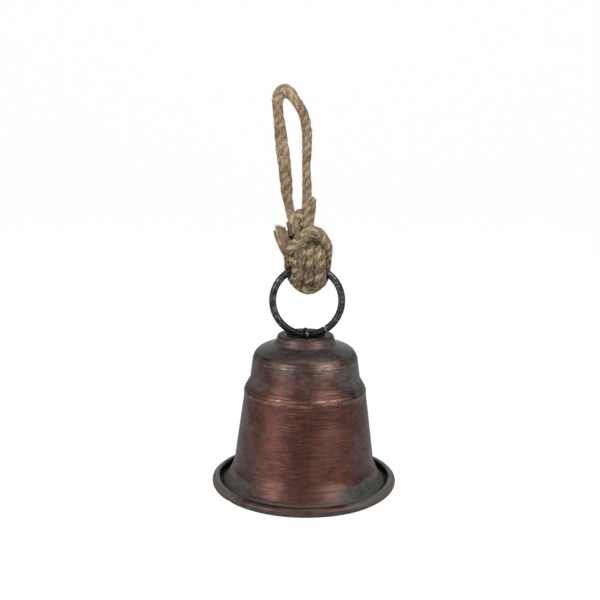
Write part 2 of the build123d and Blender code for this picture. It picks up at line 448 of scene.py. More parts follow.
class CopperShading(Shading):
    """The layers of the shell's finish, and the places and marks that they share, in millimetres."""

    def __init__(self, name):
        super().__init__(name)
        place = self.millimetres()
        self.x, self.y, self.z = self.split(place)
        self.radius = self.math("SQRT", self.plus(self.times(self.x, self.x), self.times(self.y, self.y)))
        # The side is 0 in front and behind, and 1 at the bell's left and right.
        self.side = self.math("DIVIDE", self.math("ABSOLUTE", self.x), self.larger(self.radius, 1.0))
        # More and paler patina towards the left and right: partly patina, partly a painted sheen of grazing
        # light.
        self.side_patina_and_sheen = self.span(self.side, 0.60, 1.0)
        self.brushed = self.noise(self.drawn_round(0.07), 1.3, 5.0, 0.65)
        self.hairlines = self.noise(self.drawn_round(0.16), 2.6, 4.0, 0.7)
        self.mottles = self.noise(self.drawn_round(0.45), 0.45, 4.0, 0.7)
        self.clouds = self.noise(place, 0.055, 4.0, 0.62, 0.6)
        self.blotches = self.noise(place, 0.17, 3.0, 0.6)
        self.specks = self.noise(place, 2.6, 2.0, 0.6)

    def drawn_round(self, share):
        """The place with x and y shrunk to a share, so that noise there is drawn out round the bell."""
        # It changes with the radius too, so that level parts have marks that run round as well.
        down_the_wall = self.math("SUBTRACT", self.z, self.times(self.radius, 0.8))
        return self.join(self.times(self.x, share), self.times(self.y, share), down_the_wall)

    def copper(self):
        """Brown and red copper, duller near the flare, with brush lines."""
        brown = self.blend(self.span(self.clouds, 0.35, 0.65), linear(58, 35, 31), linear(84, 49, 40))
        red = self.blend(self.span(self.blotches, 0.50, 0.66, 0.0, 0.55), brown, linear(102, 47, 41))
        bright = self.blend(self.span(self.brushed, 0.48, 0.72), red, linear(108, 68, 53))
        dulled = self.blend(self.span(self.brushed, 0.48, 0.30, 0.0, 0.5), bright, linear(50, 37, 33))
        low_down = self.blend(self.span(self.z, 20.0, 8.0, 0.0, 0.3), dulled, linear(56, 38, 34))
        return self.blend(self.span(self.hairlines, 0.56, 0.70, 0.0, 0.4), low_down, linear(134, 98, 80))

    def rubbed_highlight_rings(self):
        """1 where a ring is painted bright, partly rubbed metal and partly painted highlight, broken up by
        the brush marks.
        """
        rings = self.times(self.band(self.z, *FAINT_HIGHLIGHT_RING), 0.5)
        for low, high, fade in RUBBED_HIGHLIGHT_RINGS:
            rings = self.larger(rings, self.band(self.z, low, high, fade))
        return self.times(rings, self.span(self.plus(self.hairlines, self.blotches), 0.85, 1.15))

    def on_dome(self, left, right):
        """1 on the dome's front between two sides, fading out round it."""
        ragged = self.plus(self.x, self.span(self.brushed, 0.3, 0.7, -4.0, 4.0))
        across = self.times(self.band(ragged, left, right, 6.0), self.span(self.y, -5.0, -12.0))
        return self.times(across, self.band(self.z, 82.5, 87.5, 3.5))

    def overlaid(self, colour, rings):
        """The colour with the bright rings, and on the dome a painted dark middle and a painted highlight
        to the right of it.
        """
        # The rings' pale colour: partly rubbed metal, partly painted highlight.
        ringed = self.blend(self.times(rings, 0.55), colour, linear(144, 122, 102))
        # Painted shade: the dome's front middle, between the two lamps' reflections, made darker.
        painted_dark_middle = self.blend(self.times(self.on_dome(-3.5, 3.5), 0.5), ringed, linear(40, 36, 35))
        # Painted highlight: a pale patch where the right lamp is reflected on the dome.
        painted_highlight = self.times(self.on_dome(11.0, 17.0), self.span(self.hairlines, 0.42, 0.60, 0.05, 0.62))
        return self.blend(painted_highlight, painted_dark_middle, linear(150, 130, 114))

    def patina_cover(self):
        """0 for none, 1 for full: in the bands, and on the sides of the flare, the brim and the dome, where
        it is partly patina and partly a painted sheen of grazing light.
        """
        leaning = self.plus(self.side, self.span(self.x, 8.0, 24.0, 0.0, 0.2))  # more of it on the right
        zones = self.times(self.band(self.z, -1.0, 9.5, 5.0), self.span(leaning, 0.45, 0.95, 0.06, 0.6))
        for low, high, fade, share in PATINA_BANDS:
            zones = self.larger(zones, self.times(self.band(self.z, low, high, fade), share))
        right_side = self.times(self.span(self.x, 14.0, 27.0), self.band(self.z, 63.0, 84.0, 4.0))
        # The dome's left patch lies where the left lamp is reflected: partly patina, partly painted to grey
        # that highlight.
        for patch, share in ((self.side_patina_and_sheen, 0.22), (self.on_dome(-19.0, -9.0), 0.2), (right_side, 0.2)):
            zones = self.plus(zones, self.times(patch, share))
        loose = self.plus(self.times(self.clouds, 1.1), self.times(self.mottles, 0.35))
        loose = self.plus(loose, self.times(self.brushed, 0.25))
        return self.span(self.plus(zones, loose), 0.82, 1.5)

    def patina(self):
        """Grey-green, paler on the bell's left and right sides as a painted sheen, and browner on the brim.
        """
        green = self.blend(self.span(self.mottles, 0.4, 0.65), linear(40, 40, 38), linear(72, 75, 71))
        side_sheened = self.blend(self.times(self.side_patina_and_sheen, 0.4), green, linear(104, 106, 101))
        return self.blend(self.span(self.radius, 54.0, 57.0, 0.0, 0.75), side_sheened, linear(100, 92, 86))

    def gutter(self):
        """1 in the gutter behind the rolled brim, on faces that look up or sideways."""
        low = self.times(self.band(self.radius, 49.5, 56.0, 1.2), self.span(self.z, 6.2, 3.2))
        upward = self.split(self.add("ShaderNodeTexCoord").outputs["Normal"])[2]
        return self.times(low, self.span(upward, -0.3, 0.1))

    def dark_cover(self, gutter):
        """1 in the gutter and the crown's dish, and nearly 1 on the crown's edge and under the brim:
        painted shade, except on the crown's edge, which is just darker.
        """
        crown_edge = self.times(self.span(self.z, 99.0, 99.7), 0.9)
        dish = self.times(self.span(self.radius, 15.0, 12.0), self.span(self.z, 92.0, 94.0))
        under_brim = self.times(self.span(self.z, 6.0, 1.8), 0.9)
        return self.larger(self.larger(gutter, under_brim), self.larger(dish, crown_edge))

    def dark_tint(self, gutter):
        """The painted shade's colour: dark and mottled, and a paler grey in the gutter, which lies in deep
        shade already.
        """
        mottled_dark = self.blend(self.span(self.mottles, 0.38, 0.62), linear(26, 22, 21), linear(58, 46, 42))
        return self.blend(gutter, mottled_dark, linear(88, 88, 88))


def antique_copper():
    """Brushed copper finish over steel, browned, with patina where nothing rubs it, painted shade under the
    brim and in the hollows, and painted highlights on the rings and the dome.
    """
    shade = CopperShading("antique_copper")
    rings = shade.rubbed_highlight_rings()
    cover = shade.patina_cover()
    gutter = shade.gutter()
    dark_share = shade.dark_cover(gutter)

    overlaid = shade.overlaid(shade.copper(), rings)
    covered = shade.blend(shade.times(cover, 0.9), overlaid, shade.patina())
    # Painted shade under the brim, in the crown's dish and in the gutter; the crown's edge is just darker.
    darkened_over = shade.blend(shade.times(dark_share, 0.9), covered, shade.dark_tint(gutter))
    pitted = shade.blend(shade.span(shade.specks, 0.72, 0.78, 0.0, 0.4), darkened_over, linear(150, 136, 120))

    roughness = shade.plus(shade.span(shade.brushed, 0.3, 0.7, 0.50, 0.40), shade.times(cover, 0.12))
    roughness = shade.math("SUBTRACT", roughness, shade.times(rings, 0.10))
    roughness = shade.plus(roughness, shade.times(dark_share, 0.2))
    metal = shade.math("SUBTRACT", 0.88, shade.times(shade.larger(cover, dark_share), 0.55))
    relief = shade.plus(shade.times(shade.brushed, 0.6), shade.times(shade.hairlines, 0.5))
    relief = shade.plus(relief, shade.times(shade.mottles, 0.35))
    shade.bump(relief, 0.2, 0.2 * MM)
    return shade.finish(pitted, metal, roughness, Coat_Weight=0.14, Coat_Roughness=0.34)


# ---------------------------------------------------------------- hanging ring
RING_ROWS = 360
RING_COLUMNS = 36
RING_JOINT = math.radians(-57.0)  # from the right, so at the lower right
RING_JOINT_GAP = 0.5 * MM
RING_JOINT_SLIP = 0.25 * MM  # one cut end lies this much nearer the middle
RING_END_PINCH = 0.14  # how much thinner the wire is at its cut ends
RING_WEAR = 0.010  # how uneven its surface is


def hanging_ring():
    """A bent wire whose two cut ends almost meet, with the wear of a rubbed black finish in its surface."""
    half_gap = RING_JOINT_GAP / 2 / RING_RADIUS
    angles = np.linspace(RING_JOINT + half_gap, RING_JOINT + FULL_TURN - half_gap, RING_ROWS)
    points = []
    for index, angle in enumerate(angles):
        from_end = min(index, RING_ROWS - 1 - index)
        pinch = 1 - RING_END_PINCH * math.exp(-from_end / 1.2)
        slip = RING_JOINT_SLIP * math.exp(-(RING_ROWS - 1 - index) / 12)
        spoke = Vector((math.cos(angle), 0, math.sin(angle)))
        centre = spoke * (RING_RADIUS - slip) + Vector((RING_SIDE, 0, RING_HEIGHT))
        for turn in np.linspace(0, FULL_TURN, RING_COLUMNS, endpoint=False):
            side = (spoke * math.cos(turn) + Vector((0, 1, 0)) * math.sin(turn)) * RING_WIRE
            place = centre + side
            wear = noise.noise(place * 420.0) + 0.5 * noise.noise(place * 1100.0)
            points.append(centre + side * pinch * (1 + RING_WEAR * wear))
    faces = grid_faces(RING_ROWS, RING_COLUMNS)
    last = (RING_ROWS - 1) * RING_COLUMNS
    faces.append(list(range(RING_COLUMNS))[::-1])
    faces.append([last + column for column in range(RING_COLUMNS)])
    return mesh_object("ring_wire", points, faces)


def rubbed_black():
    """Blackened steel with silvery rub marks."""
    shade = Shading("rubbed_black")
    place = shade.millimetres()
    marks = shade.noise(place, 0.9, 5.0, 0.72, 0.4)
    patches = shade.noise(place, 0.16, 3.0, 0.6)
    grain = shade.noise(place, 5.0, 2.0, 0.6)
    rubbed = shade.times(shade.span(marks, 0.50, 0.60), shade.span(patches, 0.40, 0.58))
    height = shade.split(place)[2]
    rubbed = shade.times(rubbed, shade.span(height, 102.0, 112.0, 0.12, 1.0))
    black = shade.blend(shade.span(grain, 0.3, 0.7), linear(24, 24, 26), linear(40, 40, 43))
    colour = shade.blend(shade.times(rubbed, 0.75), black, linear(150, 146, 148))
    roughness = shade.span(marks, 0.35, 0.65, 0.5, 0.34)
    shade.bump(shade.plus(marks, shade.times(grain, 0.3)), 0.5, 0.2 * MM)
    return shade.finish(colour, 0.7, roughness)


# ---------------------------------------------------------------- wire links, washer, rod and ball
def oiled_steel():
    """Dark drawn wire and pressed steel."""
    shade = Shading("oiled_steel")
    place = shade.millimetres()
    marks = shade.noise(place, 0.8, 4.0, 0.7)
    grain = shade.noise(place, 4.0, 3.0, 0.6)
    colour = shade.blend(shade.span(marks, 0.35, 0.65), linear(44, 42, 42), linear(98, 94, 90))
    rusted = shade.blend(shade.span(marks, 0.60, 0.72, 0.0, 0.6), colour, linear(92, 58, 40))
    shade.bump(grain, 0.4, 0.1 * MM)
    return shade.finish(rusted, 0.9, shade.span(marks, 0.3, 0.7, 0.30, 0.48))


def cast_ball():
    """Cast iron with a dark skin and a few brighter strike marks round its widest part."""
    shade = Shading("cast_ball")
    place = shade.millimetres()
    height = shade.split(place)[2]
    pits = shade.noise(place, 1.4, 4.0, 0.7)
    clouds = shade.noise(place, 0.25, 3.0, 0.6)
    skin = shade.blend(shade.span(clouds, 0.35, 0.65), linear(34, 33, 34), linear(62, 58, 55))
    struck = shade.times(shade.band(height, 17.5, 22.5, 3.0), shade.span(pits, 0.52, 0.6))
    colour = shade.blend(shade.times(struck, 0.7), skin, linear(140, 134, 126))
    shade.bump(pits, 0.6, 0.3 * MM)
    return shade.finish(colour, 0.8, shade.span(pits, 0.3, 0.7, 0.62, 0.42))


# ---------------------------------------------------------------- jute rope
ROPE_STEP = 0.62 * MM
STRANDS = 3
STRAND_SIDES = 24
YARNS = 6  # grooves round each strand
LAY = 17 * MM  # the length in which a strand goes once round the rope
STRAND_OFFSET = 0.38  # how far a strand's middle is from the rope's, as a share of the rope's radius
STRAND_RADIUS = 0.64  # as a share of the rope's
YARN_TWIST = 190.0  # how fast the yarns turn round their strand, in radians to a metre
FUZZ_RIDGES = 13  # fine ridges round each strand
FUZZ_TWIST = 2300.0
SWELL = 0.11  # how much a strand's thickness varies
SWELL_LENGTH = 7 * MM
DRIFT_LENGTH = 9 * MM  # over which a strand strays from its place
FIBRE_SIDES = 3


class Jute:
    """Collects the strands and fibres of one rope piece into one mesh."""

    def __init__(self, name, seed):
        self.name = name
        self.random = random.Random(seed)
        self.points = []
        self.faces = []
        # The material paints shade where a point's crown is low.
        self.crown = []  # 0 in a crevice, 1 on the rope's outside
        self.fibre = []  # where a point is along and round its fibres, for streaks of colour

    def add_tube(self, rings, crown, along, sides):
        """Adds a closed tube from its rings of points."""
        start = len(self.points)
        rows = len(rings)
        self.points.extend(rings.reshape(-1, 3).tolist())
        self.faces.extend(grid_faces(rows, sides, start))
        self.faces.append([start + side for side in range(sides)][::-1])
        self.faces.append([start + (rows - 1) * sides + side for side in range(sides)])
        turn = np.linspace(0, FULL_TURN, sides, endpoint=False)
        strand = self.random.uniform(0, 50)
        fibre = np.empty((rows, sides, 3))
        fibre[..., 0] = np.cos(turn) + strand
        fibre[..., 1] = np.sin(turn) - strand
        fibre[..., 2] = (along / MM)[:, None]
        self.fibre.extend(fibre.reshape(-1, 3).tolist())
        self.crown.extend(np.broadcast_to(crown, (rows, sides)).ravel().tolist())

    def rope(self, marks, wobble=0.25 * MM, lay=LAY, taper_end=0.0, exposed=1.0):
        """Lays three strands round a smooth curve through the marks, each a place and a girth."""
        curve, along = smooth_path(marks, ROPE_STEP)
        path = curve[:, :3]
        radius = curve[:, 3] * ROPE_RADIUS
        tangents, normals, sides = frames_along(path)
        phase = self.random.uniform(0, FULL_TURN)
        around = np.linspace(0, FULL_TURN, STRAND_SIDES, endpoint=False)
        to_end = (along[-1] - along) / max(taper_end, 1e-6)
        tip = 1 - np.clip(to_end, 0, 1)
        for strand in range(STRANDS):
            drift = self.wave(along, DRIFT_LENGTH) * wobble
            swell = 1 + SWELL * self.wave(along, SWELL_LENGTH)
            turn = phase + strand * FULL_TURN / STRANDS + along / lay * FULL_TURN
            outwards = normals * np.cos(turn)[:, None] + sides * np.sin(turn)[:, None]
            centre = path + outwards * (radius * STRAND_OFFSET + drift)[:, None]
            thick = radius * STRAND_RADIUS * swell * np.minimum(1, 0.35 + to_end)
            groove = np.abs(np.sin((around * YARNS + (along * YARN_TWIST)[:, None]) / 2))
            start_turn = self.random.uniform(0, 6)
            fuzz = np.sin(around * FUZZ_RIDGES + (along * FUZZ_TWIST)[:, None] + start_turn)
            spread = thick[:, None] * (0.84 + 0.20 * groove + 0.02 * fuzz)
            rings = centre[:, None, :] + spokes(normals, sides, around) * spread[..., None]
            reach = np.linalg.norm(rings - path[:, None, :], axis=-1) / radius[:, None]
            crown = np.clip((reach - 0.55) / 0.4, 0, 1) * (0.45 + 0.55 * groove)
            crown = np.maximum(crown, 0.8 * tip[:, None]) * exposed
            self.add_tube(rings, crown, along, STRAND_SIDES)
        return path, tangents, normals, sides, radius

    def wave(self, along, length):
        """A smooth irregular wave between about -1 and 1."""
        total = np.zeros_like(along)
        for octave in (1.0, 1.7, 2.9):
            phase = self.random.uniform(0, FULL_TURN)
            total += np.sin(along / length * FULL_TURN * octave + phase) / octave
        return total / 1.8

    def hair(self, start, direction, outward_way, length, thickness, curl):
        """One loose fibre that leaves the rope at start."""
        bend = Vector([self.random.uniform(-1, 1) for _ in range(3)]) * curl
        marks = []
        for share in (0.0, 0.25, 0.5, 0.75, 1.0):
            lifted = start + direction * (length * share) + outward_way * (length * 0.55 * share**1.6)
            marks.append(lifted + bend * (length * share**2))
        path = np.array(marks)
        _, normals, sides = frames_along(path)
        around = np.linspace(0, FULL_TURN, FIBRE_SIDES, endpoint=False)
        width = thickness * np.array([1.0, 0.9, 0.75, 0.6, 0.35])
        rings = path[:, None, :] + spokes(normals, sides, around) * width[:, None, None]
        crown = self.random.uniform(0.35, 1.0)
        streak = np.full(len(path), self.random.uniform(0, 1))
        self.add_tube(rings, crown, streak, FIBRE_SIDES)

    def hairs(self, laid, count):
        """Loose fibres all over a laid rope."""
        path, tangents, normals, sides, radius = laid
        for _ in range(count):
            index = self.random.randrange(2, len(path) - 2)
            turn = self.random.uniform(0, FULL_TURN)
            out = Vector(normals[index] * math.cos(turn) + sides[index] * math.sin(turn))
            way = Vector(tangents[index]) * self.random.choice((-1, 1))
            way = way + out.cross(way) * self.random.uniform(-0.7, 0.7)
            start = Vector(path[index]) + out * radius[index] * self.random.uniform(0.80, 0.96)
            span = self.random.uniform(1.2, 4.0) * MM
            away = out * self.random.uniform(0.0, 0.9)
            thickness = self.random.uniform(0.05, 0.10) * MM
            self.hair(start, way, away, span, thickness, curl=0.35)

    def fibres(
        self, laid, count, length=(3, 8), slant=0.5, reach=(0.9, 1.0), darkest=0.05, thick=(0.09, 0.2)
    ):
        """Fibres that lie along a laid rope's surface, slanted across its strands.

        Lengths and thicknesses are in millimetres, slants in radians, and reaches are shares of the
        rope's radius. A fibre with a crown below 0 gets as much painted shade as one deep in a crevice.
        """
        path, tangents, normals, sides, radius = laid
        around = np.linspace(0, FULL_TURN, FIBRE_SIDES, endpoint=False)
        taper = np.array([0.5, 1.0, 1.0, 0.5])
        rises = 0.05 * np.sin(np.linspace(0, math.pi, len(taper)))
        for _ in range(count):
            rows = int(self.random.uniform(*length) * MM / ROPE_STEP)
            first = self.random.randrange(0, max(len(path) - rows, 1))
            index = np.linspace(first, min(first + rows, len(path) - 1), len(taper)).astype(int)
            start_turn = self.random.uniform(0, FULL_TURN)
            turn = start_turn + np.linspace(0, self.random.uniform(-slant, slant) * 2, len(taper))
            lift = self.random.uniform(*reach) + rises
            out = normals[index] * np.cos(turn)[:, None] + sides[index] * np.sin(turn)[:, None]
            line = path[index] + out * (radius[index] * lift)[:, None]
            across = np.cross(tangents[index], out)
            width = self.random.uniform(*thick) * MM * taper
            rings = line[:, None, :] + spokes(out, across, around) * width[:, None, None]
            crown = self.random.uniform(darkest, 1.0)
            streak = np.full(len(taper), self.random.uniform(0, 9 * MM))
            self.add_tube(rings, crown, streak, FIBRE_SIDES)

    def tuft(self, end, way, count, radius, length):
        """Frayed fibres at a cut end."""
        way = Vector(way).normalized()
        for _ in range(count):
            spread = Vector([self.random.uniform(-1, 1) for _ in range(3)])
            start = Vector(end) + spread * radius * 0.6
            out = spread * self.random.uniform(0.1, 0.7)
            span = self.random.uniform(*length) * MM
            thickness = self.random.uniform(0.08, 0.2) * MM
            self.hair(start - way * 1.5 * MM, way, out, span, thickness, curl=0.25)

    def make(self):
        """The rope piece as one object."""
        piece = mesh_object(self.name, self.points, self.faces)
        set_attribute(piece, "crown", self.crown)
        set_attribute(piece, "fibre", self.fibre)
        return piece


def jute_material(name, brown, tan, warmth, depth, contrast, lower_left_darkening=0.0):
    """Jute: tan to brown fibres in streaks along the yarns, with painted shade in the crevices between
    strands.
    """
    shade = Shading(name)
    place = shade.millimetres()
    fibre = shade.add("ShaderNodeAttribute", {"attribute_name": "fibre"}).outputs["Vector"]
    crown = shade.add("ShaderNodeAttribute", {"attribute_name": "crown"}).outputs["Fac"]
    stretched = shade.add("ShaderNodeVectorMath", {"operation": "MULTIPLY"})
    shade.put(stretched.inputs[0], fibre)
    stretched.inputs[1].default_value = (1.8, 1.8, 0.18)
    streaks = shade.noise(stretched.outputs[0], 1.0, 4.0, 0.7)
    threads = shade.noise(stretched.outputs[0], 3.2, 4.0, 0.7)
    clouds = shade.noise(place, 0.15, 3.0, 0.6)
    streaked = shade.blend(shade.span(streaks, 0.36, 0.64), brown, tan)
    warmed = shade.blend(shade.span(clouds, 0.45, 0.66, 0.0, warmth), streaked, linear(126, 88, 64))
    light = shade.blend(shade.span(threads, 0.54, 0.66, 0.0, contrast), warmed, linear(176, 157, 126))
    dark = shade.blend(shade.span(threads, 0.46, 0.36, 0.0, contrast), light, linear(74, 56, 38))
    x, _, z = shade.split(place)
    # Darker on the lower part of the left leg. Lighter near the top of the knot and at the loop's top:
    # painted light from above.
    overlaid = shade.times(shade.band(z, 180.0, 200.0, 8.0), shade.span(x, -5.0, -8.0, 0.0, lower_left_darkening))
    lower_left_darker = shade.blend(overlaid, dark, linear(98, 76, 56))
    painted_top_light = shade.larger(shade.band(z, 156.0, 174.0, 8.0), shade.span(z, 232.0, 246.0, 0.0, 0.4))
    top_lit = shade.blend(shade.times(painted_top_light, 0.3), lower_left_darker, linear(186, 167, 135))
    # Painted shade: the lower the crown, the darker, as deep in the crevices.
    shaded = shade.blend(shade.span(crown, 0.0, 0.6, depth, 0.0), top_lit, linear(48, 36, 25))
    shade.bump(shade.plus(threads, shade.times(streaks, 0.6)), 0.7, 0.3 * MM)
    return shade.finish(shaded, 0.0, 0.88, Sheen_Weight=0.1, Sheen_Roughness=0.5)


def at(x, y, z, girth=1.0):
    """A mark on a rope's path, given in millimetres, and the rope's girth there, 1 for its usual one."""
    return (x * MM, y * MM, z * MM, girth)


def wire_height(x):
    """Height of the ring wire's centre line at x, on the upper half of the ring."""
    return RING_HEIGHT + math.sqrt(RING_RADIUS**2 - (x - RING_SIDE) ** 2)


def wrap_point(x, angle, distance, girth=1.0):
    """A mark round the ring's wire: angle 0 is in front of it, 90 above, -90 below, in degrees."""
    turn = math.radians(angle)
    return (
        x * MM,
        -distance * MM * math.cos(turn),
        wire_height(x * MM) + distance * MM * math.sin(turn),
        girth,
    )


# The knot's turns round the wire: angle round it, in degrees, and distance from it, in millimetres.
WIRE_TURN = (
    (84, 14.0),
    (58, 13.6),
    (30, 11.4),
    (4, 9.2),
    (-26, 8.2),
    (-58, 8.2),
    (-90, 8.0),
    (-122, 7.8),
    (-155, 8.0),
    (-184, 9.4),
    (-208, 11.6),
    (-236, 13.0),
)
TURN_MIDDLE = -76
TURN_HALF_ANGLE = 160
TURN_GIRTH = 1.16

THICK_FIBRES = {"length": (5.0, 11.0), "slant": 0.7, "reach": (0.93, 1.03), "thick": (0.15, 0.28)}
CROSSING_FIBRES = {"length": (6.0, 11.0), "slant": 1.2, "reach": (1.0, 1.06), "darkest": 0.6}


def turn_round_wire(low, high, drawn_in):
    """Marks of one turn: at x = low under the wire and at x = high at its ends, and drawn in above it."""
    marks = []
    for angle, distance in WIRE_TURN:
        from_middle = abs(angle - TURN_MIDDLE) / TURN_HALF_ANGLE
        x = low + (high - low) * from_middle
        if angle > 0:
            distance -= drawn_in
        marks.append(wrap_point(x, angle, distance, TURN_GIRTH))
    return marks


def rope_loop():
    """The loop's two legs over the top, the second rope end beside a leg, and the turn behind the legs."""
    jute = Jute("jute_loop", 11)
    loop = jute.rope(
        [
            # up the right leg
            at(2.6, 0.5, 160.0, 0.9),
            at(1.0, 0.0, 168.0, 0.95),
            at(0.0, 0.0, 177.0, 0.92),
            at(-0.1, 0.0, 190.0, 0.90),
            at(-0.4, 0.0, 200.5, 0.81),
            at(-0.7, 0.0, 207.5, 0.77),
            at(-0.4, 0.0, 217.0, 0.87),
            at(-0.8, 0.0, 230.0, 0.92),
            # over the top
            at(-3.2, 0.0, 239.6, 0.92),
            at(-8.2, 0.0, 247.2, 0.96),
            at(-10.9, 0.0, 250.5, 1.14),
            at(-14.3, 0.0, 252.2, 1.36),
            at(-17.2, 0.0, 250.6, 1.24),
            at(-18.6, 0.0, 247.0, 1.06),
            # down the left leg
            at(-18.4, 0.0, 240.4, 0.94),
            at(-17.1, 0.0, 230.0, 1.08),
            at(-15.5, 0.0, 216.5, 1.22),
            at(-13.8, 0.0, 204.5, 1.15),
            at(-13.0, 0.0, 194.5, 1.15),
            at(-12.0, 0.0, 187.5, 0.98),
            at(-10.8, 0.0, 180.5, 0.86),
            at(-9.0, 0.0, 173.5, 0.94),
            at(-7.0, 0.0, 167.0, 1.0),
            at(-4.6, 0.5, 160.0, 0.9),
        ],
        wobble=0.15 * MM,
    )
    jute.hairs(loop, 700)
    jute.fibres(loop, 1100, darkest=0.5)
    second_end = jute.rope(
        [at(0.6, 1.0, 163.0), at(1.2, 1.6, 171.0), at(2.3, 1.7, 180.0, 0.92), at(3.0, 1.7, 187.8, 0.88)],
        taper_end=2.4 * MM,
    )
    jute.hairs(second_end, 90)
    jute.fibres(second_end, 260, darkest=0.5)
    back_turn = jute.rope(
        [
            at(-9.4, 2.4, 163.0),
            at(-8.0, 2.2, 170.0),
            at(-6.2, 1.7, 174.9, 1.1),
            at(-3.9, 1.2, 176.6, 1.1),
            at(-1.6, 1.7, 174.9, 1.1),
            at(-2.4, 2.6, 168.0),
            at(-4.6, 3.0, 162.0),
        ]
    )
    jute.hairs(back_turn, 80)
    jute.fibres(back_turn, 200, darkest=0.5)
    return jute.make()


def rope_knot():
    """A bight through the ring, a shoulder, a collar across the front and three turns round the wire."""
    jute = Jute("jute_knot", 23)
    main = jute.rope(
        [
            # down the left side
            at(-13.6, -2.3, 161.5),
            at(-11.4, -2.8, 154.5),
            at(-11.0, 1.5, 147.5, 0.9),
            at(-10.6, 5.3, 141.0, 0.9),
            # along the bottom, inside the ring
            at(-6.8, 3.4, 133.8),
            at(1.6, -0.6, 129.8, 1.1),
            at(9.8, 3.2, 134.2),
            # up the right side
            at(12.4, 5.6, 141.6, 0.88),
            at(13.0, 2.4, 150.0, 0.95),
            at(12.9, -2.2, 157.4, 0.95),
            at(11.0, -4.4, 161.8, 0.92),
            # the collar, across the front to the left
            at(7.4, -6.6, 166.2, 0.95),
            at(2.0, -8.6, 166.8),
            at(-4.6, -9.0, 161.6),
            at(-9.6, -6.2, 156.4),
            at(-7.0, 0.5, 154.6),
        ]
    )
    jute.hairs(main, 500)
    jute.fibres(main, 1200, darkest=-0.15)
    jute.fibres(main, 300, darkest=-0.1, **THICK_FIBRES)
    for low, high, drawn_in in ((-6.6, -2.8, 0.0), (0.9, 2.7, 1.2), (8.8, 7.4, 1.0)):
        turn = jute.rope(turn_round_wire(low, high, drawn_in), wobble=0.3 * MM)
        jute.hairs(turn, 200)
        jute.fibres(turn, 520, darkest=-0.4)
        jute.fibres(turn, 90, **CROSSING_FIBRES)
        jute.fibres(turn, 120, darkest=-0.4, **THICK_FIBRES)
    behind = jute.rope(
        [
            at(-7.0, 2.0, 157.0),
            at(-10.4, 4.4, 160.0),
            at(-5.0, 9.0, 165.0),
            at(3.4, 9.8, 163.0),
            at(10.0, 7.0, 160.0),
            at(10.8, 2.4, 155.0),
        ]
    )
    jute.hairs(behind, 100)
    jute.fibres(behind, 200)
    # A strand beside the left leg, dark all over: painted shadow between the tail and the leg, and dark
    # fibres there.
    shadow_strand = [at(-9.0, -1.6, 164.0, 0.55), at(-10.4, -1.6, 168.6, 0.5), at(-12.2, -1.4, 172.4, 0.4)]
    jute.rope(shadow_strand, taper_end=1.5 * MM, exposed=0.0)
    # The last two fill the knot's middle.
    heart = [wrap_point(x, 84, 6.9, 1.2) for x in (-10.5, -5.0, 0.8, 6.0, 11.5)]
    jute.rope(heart)
    jute.rope(
        [
            at(-8.0, 2.0, 153.0),
            at(-5.0, 1.4, 158.6, 1.2),
            at(1.0, 2.0, 159.0, 1.3),
            at(9.6, 2.0, 157.4, 1.2),
        ]
    )
    return jute.make()


def rope_tail():
    """The short cut end, opened into straight fibres and frayed."""
    jute = Jute("jute_tail", 31)
    tail = jute.rope(
        [
            at(-10.8, -2.6, 151.5),
            at(-13.2, -2.6, 156.5, 1.1),
            at(-15.4, -2.0, 162.5, 1.22),
            at(-17.5, -1.0, 168.0, 1.26),
        ],
        wobble=0.5 * MM,
        lay=90 * MM,
    )
    jute.hairs(tail, 200)
    jute.fibres(tail, 700, length=(4.0, 12.0), slant=0.15)
    path, tangents = tail[:2]
    jute.tuft(path[-1], tangents[-1], 260, radius=3.2 * MM, length=(0.8, 2.4))
    return jute.make()


# ---------------------------------------------------------------- build the pieces
copper = antique_copper()
shell = bell_shell()
dress(shell, copper)
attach(shell, "bell")
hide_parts("bell_shell")

ring = hanging_ring()
dress(ring, rubbed_black())
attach(ring, "ring")
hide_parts("hanging_ring")

steel = oiled_steel()
for node in ("crown_washer", "crown_link", "clapper_link", "clapper_rod", "clapper_nut"):
    dress(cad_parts[node], steel)
dress(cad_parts["clapper_ball"], cast_ball())

jute = jute_material(
    "jute", linear(123, 101, 76), linear(176, 155, 122), warmth=0.5, depth=0.75, contrast=0.8
)
smooth_jute = jute_material(
    "smooth_jute",
    linear(136, 114, 88),
    linear(164, 144, 115),
    warmth=0.6,
    depth=0.3,
    contrast=0.25,
    lower_left_darkening=0.4,
)
worn_jute = jute_material(
    "worn_jute", linear(130, 101, 75), linear(160, 136, 107), warmth=1.0, depth=0.5, contrast=0.6
)
knot = rope_knot()
tail = rope_tail()
for piece, node, material in ((knot, "rope_knot", jute), (tail, "rope_tail", worn_jute)):
    dress(piece, material)
    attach(piece, "knot")
    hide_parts(node)

loop = rope_loop()
dress(loop, smooth_jute)
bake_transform(loop)
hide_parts("rope_loop")


# ---------------------------------------------------------------- stage, light and camera
WHITE = (1, 1, 1, 1)
BACKDROP_GLOW = 1.05

LAMP_DISTANCE = 1.3
# Soft lamps, as (name, azimuth, elevation, width, height, power): degrees, metres and watts.
SOFT_BOXES = (
    ("left_softbox", -48, 20, 0.62, 0.9, 13.0),
    ("right_softbox", 48, 28, 0.62, 0.9, 13.0),
    ("top_softbox", 0, 78, 0.9, 0.9, 3.4),
    ("back_softbox", 180, 8, 0.9, 0.6, 2.5),
)

CAMERA_ELEVATION = math.radians(11.68)
CAMERA_DISTANCE = 635.3 * MM
CAMERA_ROLL = math.radians(0.65)


